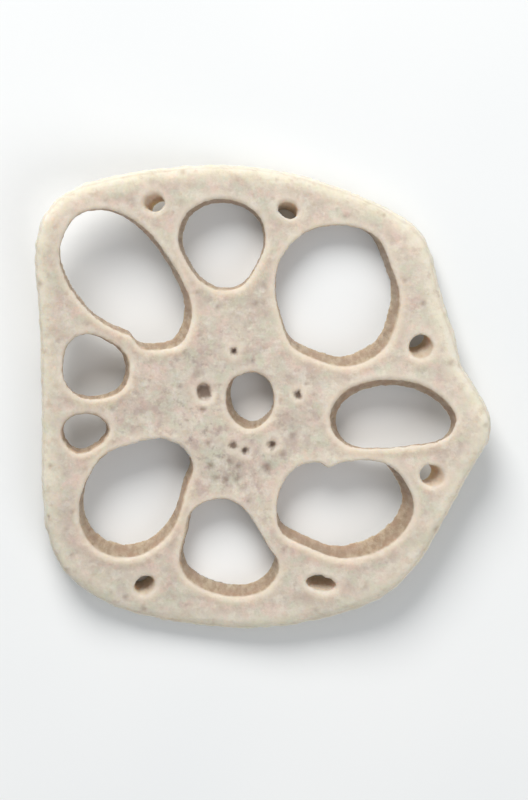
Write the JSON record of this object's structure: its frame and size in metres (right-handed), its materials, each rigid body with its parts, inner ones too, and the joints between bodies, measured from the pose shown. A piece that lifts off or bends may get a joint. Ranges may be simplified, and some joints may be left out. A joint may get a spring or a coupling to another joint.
{
  "type": "dried lotus root slice",
  "caption": "Dried cross-cut slice of lotus root, a thin curled disc of pale flesh pierced by its ring of wide air channels.",
  "frame": {"origin": "under the middle of the slice's bounding box, on the surface that it lies on", "axes": "+Z out of the upper cut face, +Y along the slice's longest way across"},
  "size_m": [0.0456, 0.047, 0.0073],
  "materials": {
    "dried_lotus_flesh": "dry matt beige flesh with tan channel walls"
  },
  "bodies": {
    "root": {"lotus_root_slice": "dried_lotus_flesh"}
  },
  "joints": []
}
